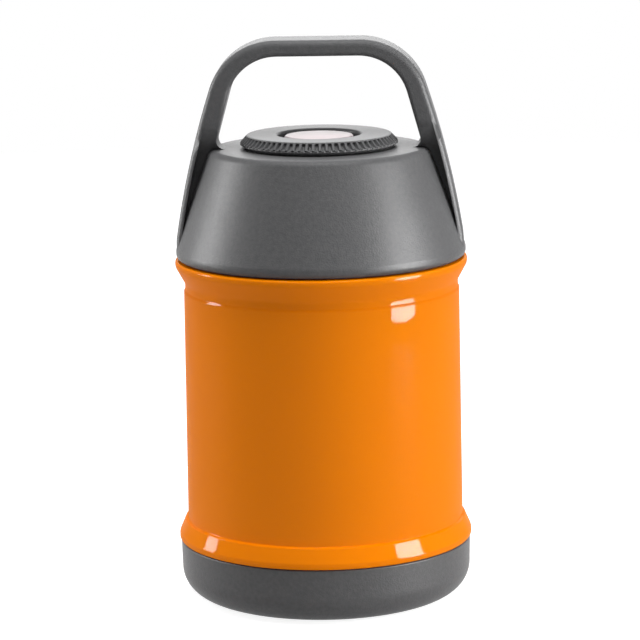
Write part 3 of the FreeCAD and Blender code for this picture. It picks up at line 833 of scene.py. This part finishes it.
@dataclass
class BaseCup:
    """Grey cup on the shell's foot, with its rubber pad."""

    low_z: float = 0.4
    high_z: float = 21.8
    rim_r: float = 55.4
    draft: float = 0.5
    corner: float = 10.8
    rim_round: float = 0.6
    bore_r: float = 52.2
    seat_z: float = 6.6
    seat_r: float = 45.2
    floor_z: float = 3.6
    recess_z: float = 2.0
    lip_r: float = 30.5
    pad_in_r: float = 33.0
    pad_out_r: float = 43.0
    pad_top_z: float = 1.6
    pad_round: float = 0.3
    lip_round: float = 0.4

    def build(self, shop: Workshop) -> None:
        """Build the cup with the pad's groove, and the pad.

        Args:
            shop: The workshop.
        """
        cup = turned("base_cup_moulding", [
            (0.0, self.recess_z),
            (self.lip_r, self.recess_z),
            (self.lip_r, self.low_z, self.lip_round),
            (self.pad_in_r, self.low_z),
            (self.pad_in_r, self.pad_top_z),
            (self.pad_out_r, self.pad_top_z),
            (self.pad_out_r, self.low_z),
            (self.rim_r - self.draft, self.low_z, self.corner),
            (self.rim_r, self.high_z, self.rim_round),
            (self.bore_r, self.high_z),
            (self.bore_r, self.seat_z),
            (self.seat_r, self.seat_z),
            (self.seat_r, self.floor_z),
            (0.0, self.floor_z),
        ], segments=224, step=6.0)
        shop.dress(cup, GREY_MOULDING, Body.JAR, "grey_moulding", "base_cup")
        pad = turned("rubber_foot_pad", [
            (self.pad_in_r, 0.0, self.pad_round), (self.pad_out_r, 0.0, self.pad_round),
            (self.pad_out_r, self.pad_top_z), (self.pad_in_r, self.pad_top_z),
        ], segments=128)
        shop.dress(pad, PAD_RUBBER, Body.JAR, "pad_rubber", "base_pad")


@dataclass
class ScrewThread:
    """Three-start thread whose ridges stand on the collar outside and on the lid's skirt inside."""

    rise_per_turn: float = 12.0
    turns: float = 0.5
    starts: int = 3
    reach: float = 1.35
    root: float = 1.7
    crest: float = 0.9
    sunk: float = 0.15
    runout: float = 0.12
    steps: int = 96

    def build(self, shop: Workshop, name: str, radius: float, outward: bool, foot_z: float) -> Piece:
        """Build the ridges of one side of the thread.

        Args:
            shop: The workshop.
            name: The piece's name.
            radius: Radius of the wall that the ridges stand on.
            outward: Whether they stand outwards.
            foot_z: Height of the ridges' low end.

        Returns:
            The ridges as one piece.
        """
        side = 1.0 if outward else -1.0
        half_root, half_crest = self.root / 2 * MM, self.crest / 2 * MM
        low, high = -self.sunk * side * MM, self.reach * side * MM
        mesh = bpy.data.meshes.new(name)
        section = [(low, -half_root, 0), (high, -half_crest, 0), (high, half_crest, 0), (low, half_root, 0)]
        mesh.from_pydata(section, [(0, 1), (1, 2), (2, 3), (3, 0)], [])
        piece = placed(name, mesh)
        run_tree(piece, shop.threads, {
            "Radius": radius * MM, "Foot": foot_z * MM, "Rise": self.rise_per_turn * self.turns * MM,
            "Turns": self.turns, "Runout": self.runout, "Starts": self.starts, "Steps": self.steps,
            "Finish": shop.material(INNER_MOULDING)})
        mesh = piece.data
        bpy.data.objects.remove(piece)
        return new_piece(name, mesh, Smoothing.CRISP)


@dataclass
class NeckCollar:
    """Moulded collar on the steel neck, with the jar's side of the thread."""

    bore_r: float = 40.732
    wall_r: float = 43.132
    foot_r: float = 44.732
    foot_z: float = 129.8
    foot_top_z: float = 131.2
    top_z: float = 144.1
    top_round: float = 0.8
    edge_round: float = 0.3
    chamfer: float = 1.2
    ridge_foot_z: float = 134.6
    thread: ScrewThread = field(default_factory=ScrewThread)

    def build(self, shop: Workshop) -> None:
        """Build the collar and its ridges.

        Args:
            shop: The workshop.
        """
        collar = turned("thread_collar", [
            (self.bore_r + self.chamfer, self.foot_z),
            (self.foot_r, self.foot_z, self.edge_round),
            (self.foot_r, self.foot_top_z, self.edge_round),
            (self.wall_r, self.foot_top_z, self.edge_round),
            (self.wall_r, self.top_z, self.top_round),
            (self.bore_r, self.top_z),
            (self.bore_r, self.foot_z + self.chamfer),
        ], segments=160)
        ridges = self.thread.build(shop, "collar_ridges", self.wall_r, True, self.ridge_foot_z)
        piece = joined("thread_collar", [collar, ridges])
        shop.dress(piece, INNER_MOULDING, Body.JAR, "inner_moulding", "neck_collar")


@dataclass
class LidMoulding:
    """Cone, deck and handle in one moulding."""

    def build(self, shop: Workshop) -> None:
        """Build the moulding from the frame's own solid.

        Args:
            shop: The workshop.
        """
        shell = merged_node("lid_shell", "lid_and_handle", Smoothing.MOULDED)
        shop.dress(shell, GREY_MOULDING, Body.LID, "grey_moulding", "lid_shell")


@dataclass
class InnerLid:
    """Plug, seal seat and threaded skirt, with the silicone seal and the foam."""

    rim_r: float = 52.1
    skirt_r: float = 45.132
    skirt_out_r: float = 46.732
    skirt_foot_z: float = 130.9
    flange: float = 1.5
    plug_r: float = 37.382
    plug_wall: float = 2.0
    plug_z: float = 134.2
    plug_floor_z: float = 136.4
    plug_round: float = 2.0
    seat_z: float = 148.0
    top_z: float = 150.0
    top_round: float = 2.2
    vent_r: float = 4.0
    seal_z: float = 146.2
    seal_r: float = 41.582
    seal_gap: float = 0.3
    seal_round: float = 0.25
    ridge_foot_z: float = 132.6
    thread: ScrewThread = field(default_factory=ScrewThread)

    def build(self, shop: Workshop) -> None:
        """Build the inner lid with its ridges, and the seal.

        Args:
            shop: The workshop.
        """
        lid = turned("inner_lid_moulding", [
            (self.vent_r, self.plug_z),
            (self.plug_r, self.plug_z, self.plug_round),
            (self.plug_r, self.seat_z),
            (self.skirt_r, self.seat_z),
            (self.skirt_r, self.skirt_foot_z),
            (self.rim_r, self.skirt_foot_z),
            (self.rim_r, self.skirt_foot_z + self.flange),
            (self.skirt_out_r, self.skirt_foot_z + self.flange),
            (self.skirt_out_r, self.top_z, self.top_round),
            (self.plug_r - self.plug_wall, self.top_z),
            (self.plug_r - self.plug_wall, self.plug_floor_z),
            (self.vent_r, self.plug_floor_z),
        ], segments=160)
        ridges = self.thread.build(shop, "skirt_ridges", self.skirt_r, False, self.ridge_foot_z)
        piece = joined("inner_lid_moulding", [lid, ridges])
        shop.dress(piece, INNER_MOULDING, Body.LID, "inner_moulding", "inner_lid")
        seal_in_r = self.plug_r + self.seal_gap
        seal = turned("silicone_seal", [
            (seal_in_r, self.seal_z, self.seal_round), (self.seal_r, self.seal_z, self.seal_round),
            (self.seal_r, self.seat_z, self.seal_round), (seal_in_r, self.seat_z, self.seal_round),
        ], segments=160)
        shop.dress(seal, SILICONE, Body.SEAL, "silicone", "lid_seal")
        shop.dress_nodes(lid_foam=WHITE_FOAM)


@dataclass
class VentValve:
    """Valve housing, stem, plug and spring under the button."""

    spring_foot_z: float = 158.1
    spring_top_z: float = 173.8
    travel: float = 3.0

    def build(self, shop: Workshop) -> None:
        """Dress the valve's pieces; only the housing's top can be seen, past the button.

        Args:
            shop: The workshop.
        """
        housing = merged_node("valve_housing", "valve_housing_moulding", Smoothing.MOULDED)
        # The housing's near-black finish is painted shade in the gap round the button.
        shop.dress(housing, HOUSING_PAINTED_SHADE, Body.LID, "dark_moulding", "valve_housing")
        shop.dress_nodes(housing_seal=PAD_RUBBER, valve_stem=INNER_MOULDING, valve_plug=SILICONE)
        spring = merged_node("button_spring", "coil_spring", Smoothing.MOULDED)
        shop.dress(spring, BARE_STEEL, Body.BUTTON, "bare_steel", "button_spring")
        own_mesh(spring)


@dataclass
class KnurledRing:
    """Ring with 72 grooves round its edge, deeper than the solid's, a smooth face and a bayonet sleeve."""

    low_z: float = 171.9
    top_z: float = 176.5
    edge_r: float = 29.7
    foot_r: float = 28.3
    knee_z: float = 173.7
    top_r: float = 27.0
    top_rim: float = 0.5
    bore_r: float = 15.5
    bore_round: float = 1.2
    web: float = 2.4
    sleeve_r: float = 21.0
    sleeve_wall: float = 2.0
    sleeve_z: float = 166.0
    lug_z: float = 166.4
    lug_height: float = 1.8
    lug_reach: float = 1.1
    lug_root: float = 0.5
    lug_angle: float = 24.0
    lug_count: int = 3
    groove_count: int = 72
    groove_depth: float = 1.5
    groove_low_z: float = 173.45
    groove_low_run: float = 0.5
    pearl_z: float = 173.35
    pearl_height: float = 0.9
    pearl_rise: float = 0.4
    groove_top_z: float = 176.2
    groove_top_run: float = 0.7
    groove_width: float = 0.52
    groove_side: float = 0.18
    pearl_half: float = 0.26
    foot_corner: Corner = (0.15, 0.1)
    top_corner: Corner = (-0.12, -0.04)
    undercut: tuple[Corner, ...] = ((0.7, 0.95), (0.25, 0.6))
    pearl_rows: Corner = (-0.4, -0.3, -0.15, 0.0, 0.12, 0.22, 0.3)
    slope_rows: Corner = (0.0, 0.05, 0.11, 0.2, 0.35, 0.5, 0.65, 0.74, 0.8, 0.85, 0.9)
    columns: int = 14

    def groove(self, across: float, height: float) -> float:
        """Depth of the grooved side at one spot, with a pearl at the foot of the groove.

        Args:
            across: Place within one pitch, from -0.5 to 0.5.
            height: Height of the spot.

        Returns:
            Depth under the side, in millimetres.
        """
        low = eased((height - self.groove_low_z) / self.groove_low_run)
        high = eased((self.groove_top_z - height) / self.groove_top_run)
        side = eased(((self.groove_width + self.groove_side) / 2 - abs(across)) / self.groove_side)
        cut = low * high * side
        belt = max(0.0, 1 - (2 * (height - self.pearl_z) / self.pearl_height) ** 2)
        bump = max(0.0, 1 - (across / self.pearl_half) ** 2)
        return self.groove_depth * cut + self.pearl_rise * math.sqrt(belt) * (1 - math.sqrt(bump)) * (1 - cut)

    def side_points(self) -> list[Vector]:
        """Lay points up the ring's outer side, close together along the grooves.

        Returns:
            The points, from the foot up.
        """
        knee = Vector((self.edge_r, self.knee_z))
        head = Vector((self.top_r, self.top_z))
        foot = Vector((self.foot_r, self.low_z))
        points = [foot, foot + Vector(self.foot_corner)]
        points += [Vector((self.edge_r - back, self.groove_low_z - under)) for back, under in self.undercut]
        points += [Vector((self.edge_r, self.pearl_z + rise)) for rise in self.pearl_rows]
        points += [knee.lerp(head, share) for share in self.slope_rows]
        return points + [head + Vector(self.top_corner)]

    def pitch_mesh(self) -> bpy.types.Mesh:
        """One pitch of the ring, with its groove, open towards its neighbours.

        Returns:
            The mesh, at angle 0.
        """
        sleeve_in_r = self.sleeve_r - self.sleeve_wall
        inner = outline_points([
            (self.top_r - self.top_rim, self.top_z), (self.bore_r, self.top_z, self.bore_round),
            (self.bore_r, self.top_z - self.web), (sleeve_in_r, self.top_z - self.web),
            (sleeve_in_r, self.sleeve_z), (self.sleeve_r, self.sleeve_z), (self.sleeve_r, self.low_z),
        ], step=12.0)
        side = self.side_points()
        pitch = math.tau / self.groove_count
        vertices, faces = [], []
        for column in range(self.columns + 1):
            across = column / self.columns - 0.5
            for index, point in enumerate(side + inner):
                radius = point.x - (self.groove(across, point.y) if index < len(side) else 0.0)
                angle = across * pitch
                vertices.append((radius * math.cos(angle) * MM, radius * math.sin(angle) * MM, point.y * MM))
        width = len(side) + len(inner)
        for column in range(self.columns):
            for index in range(width):
                ahead = (index + 1) % width
                faces.append((column * width + index, (column + 1) * width + index,
                              (column + 1) * width + ahead, column * width + ahead))
        mesh = bpy.data.meshes.new("pitch")
        mesh.from_pydata(vertices, [], faces)
        return mesh

    def build(self, shop: Workshop) -> None:
        """Build the ring from one pitch of its edge, and its lugs, as one piece.

        Args:
            shop: The workshop.
        """
        pitch = placed("pitch", self.pitch_mesh())
        run_tree(pitch, shop.copies, {"Count": self.groove_count, "Finish": shop.material(RING_MOULDING)})
        mesh = pitch.data
        bpy.data.objects.remove(pitch)
        body = new_piece("grooved_ring", mesh, Smoothing.MOULDED)
        root_r, tip_r = self.sleeve_r - self.lug_root, self.sleeve_r + self.lug_reach
        lug_top_z = self.lug_z + self.lug_height
        lug = turned("lug", [
            (root_r, self.lug_z), (tip_r, self.lug_z), (tip_r, lug_top_z), (root_r, lug_top_z),
        ], segments=120, sweep=self.lug_angle)
        run_tree(lug, shop.copies, {"Count": self.lug_count, "Finish": shop.material(RING_MOULDING)})
        piece = joined("grooved_ring", [body, lug])
        shop.dress(piece, RING_MOULDING, Body.RING, "ring_moulding", "knurled_ring")


@dataclass
class ReleaseButton:
    """Slightly domed push button with its skirt and hub."""

    radius: float = 13.0
    edge_z: float = 176.0
    low_z: float = 173.8
    dome: float = 0.8
    edge_round: float = 0.9
    skirt_r: float = 12.0
    skirt_wall: float = 1.6
    skirt: float = 9.4
    hub_r: float = 3.6
    hub: float = 7.4
    bore_r: float = 2.0
    bore: float = 0.8
    crown_rows: Corner = (0.98, 0.9, 0.75, 0.55, 0.35, 0.15)

    def build(self, shop: Workshop) -> None:
        """Build the button.

        Args:
            shop: The workshop.
        """
        flat_r = self.radius - self.edge_round
        crown = [(flat_r * share, self.edge_z + self.dome * (1 - share ** 2)) for share in self.crown_rows]
        skirt_in_r = self.skirt_r - self.skirt_wall
        hub_z, skirt_z = self.low_z - self.hub, self.low_z - self.skirt
        button = turned("push_button", [
            (0.0, self.low_z - self.bore), (self.bore_r, self.low_z - self.bore),
            (self.bore_r, hub_z), (self.hub_r, hub_z), (self.hub_r, self.low_z),
            (skirt_in_r, self.low_z), (skirt_in_r, skirt_z),
            (self.skirt_r, skirt_z), (self.skirt_r, self.low_z), (self.radius, self.low_z),
            (self.radius, self.edge_z, self.edge_round), *crown, (0.0, self.edge_z + self.dome),
        ], segments=128)
        shop.dress(button, BUTTON_MOULDING, Body.BUTTON, "button_moulding", "release_button")


@dataclass
class Softbox:
    """A rectangular lamp that faces the jar's axis, or hangs over it."""

    name: str
    azimuth: float
    distance: float
    centre_z: float
    width: float
    tall: float
    radiance: float
    tilt: float = 0.0
    shine: Shine = Shine.BOTH

    def build(self) -> None:
        """Place the lamp, turned towards the jar, with its power worked out from its radiance."""
        lamp = bpy.data.lights.new(self.name, "AREA")
        lamp.shape = "RECTANGLE"
        lamp.size, lamp.size_y = self.width, self.tall
        lamp.energy = self.radiance * math.pi * self.width * self.tall
        holder = placed(self.name, lamp)
        angle = math.radians(self.azimuth)
        holder.location = (self.distance * math.sin(angle), -self.distance * math.cos(angle), self.centre_z)
        holder.rotation_euler = (math.radians(90 - self.tilt), 0, angle)
        holder.visible_camera = False
        holder.visible_glossy = self.shine is not Shine.SPREAD
        holder.visible_diffuse = self.shine is not Shine.GLOSS


@dataclass
class Studio:
    """Pale floor, white surroundings, soft lamps and the photo's camera."""

    distance: float = 1.2
    pitch: float = 10.74
    azimuth: float = 2.0
    roll: float = -1.0
    target_z: float = 0.1047
    focal_px: float = 3160.6
    shift_px: tuple[float, float] = (-2.2, 1.2)
    floor_r: float = 1.3
    floor_sides: int = 96
    floor_colour: str = "b0b0b0"
    floor_glow: float = 0.86
    ambient: float = 0.07
    lamps: tuple[Softbox, ...] = (
        Softbox("window_right", 70.5, 0.6, 0.186, 0.24, 0.35, 88.0, shine=Shine.GLOSS),
        Softbox("window_left", -99.0, 0.6, 0.245, 0.13, 0.35, 50.0, shine=Shine.GLOSS),
        Softbox("fill_right", 72.0, 1.1, 0.5, 0.8, 0.9, 4.6, shine=Shine.SPREAD),
        Softbox("fill_left", -105.0, 1.1, 0.5, 0.8, 0.9, 3.3, shine=Shine.SPREAD),
        Softbox("fill_front", 8.0, 1.6, 0.7, 0.8, 0.8, 0.5, shine=Shine.SPREAD),
        Softbox("lamp_back", 180.0, 0.8, 0.55, 0.6, 0.6, 2.3),
        Softbox("lamp_top", 0.0, 0.2, 1.3, 0.8, 0.65, 9.0, 82.0),
    )

    def floor(self) -> None:
        """Lay a pale floor that is white to the camera, but for a faint shadow under the jar."""
        mesh = bpy.data.meshes.new("floor")
        turns = [math.tau * index / self.floor_sides for index in range(self.floor_sides)]
        rim = [(self.floor_r * math.cos(turn), self.floor_r * math.sin(turn), 0.0) for turn in turns]
        mesh.from_pydata(rim, [], [tuple(range(self.floor_sides))])
        floor = placed("floor", mesh)
        material = bpy.data.materials.new("white_studio_floor")
        material.use_nodes = True
        tree = material.node_tree
        shader = tree.nodes["Principled BSDF"]
        glow = add_node(tree, "ShaderNodeMath", {0: eye_rays(tree), 1: self.floor_glow}, operation="MULTIPLY")
        set_inputs(tree, shader, {
            "Base Color": hex_colour(self.floor_colour), "Roughness": 0.9,
            "Emission Color": WHITE, "Emission Strength": glow.outputs[0]})
        mesh.materials.append(material)

    def world(self) -> None:
        """Surround the jar with a world that is white to the eye and lights it only softly."""
        world = bpy.data.worlds.new("studio")
        world.use_nodes = True
        tree = world.node_tree
        level = add_node(tree, "ShaderNodeMapRange",
                         {"Value": eye_rays(tree), "To Min": self.ambient, "To Max": 1.0})
        set_inputs(tree, tree.nodes["Background"], {"Color": WHITE, "Strength": level.outputs[0]})
        bpy.context.scene.world = world

    def camera(self) -> None:
        """Set the camera at the photo's angle."""
        data = bpy.data.cameras.new("photo_camera")
        data.sensor_width = SENSOR_MM
        data.lens = self.focal_px / PHOTO_PX * SENSOR_MM
        data.shift_x, data.shift_y = self.shift_px[0] / PHOTO_PX, self.shift_px[1] / PHOTO_PX
        data.clip_end = 50.0
        camera = placed("photo_camera", data)
        pitch, azimuth = math.radians(self.pitch), math.radians(self.azimuth)
        target = Vector((0, 0, self.target_z))
        camera.location = target + self.distance * Vector(
            (math.cos(pitch) * math.sin(azimuth), -math.cos(pitch) * math.cos(azimuth), math.sin(pitch)))
        look = (target - camera.location).to_track_quat("-Z", "Y").to_matrix()
        camera.rotation_euler = (look @ Matrix.Rotation(math.radians(self.roll), 3, "Z")).to_euler()
        bpy.context.scene.camera = camera

    def build(self) -> None:
        """Set up the whole studio."""
        self.floor()
        self.world()
        self.camera()
        for lamp in self.lamps:
            lamp.build()
        bpy.context.scene.view_settings.view_transform = "Standard"


def main() -> None:
    """Build every sub-assembly and the studio."""
    logging.basicConfig(level=logging.INFO, format="%(message)s")
    shop = Workshop()
    for part in (SteelVessel(), BaseCup(), NeckCollar(), InnerLid(),
                 LidMoulding(), VentValve(), KnurledRing(), ReleaseButton()):
        part.build(shop)
    Studio().build()
    bpy.context.view_layer.update()


if __name__ == "__main__":
    main()
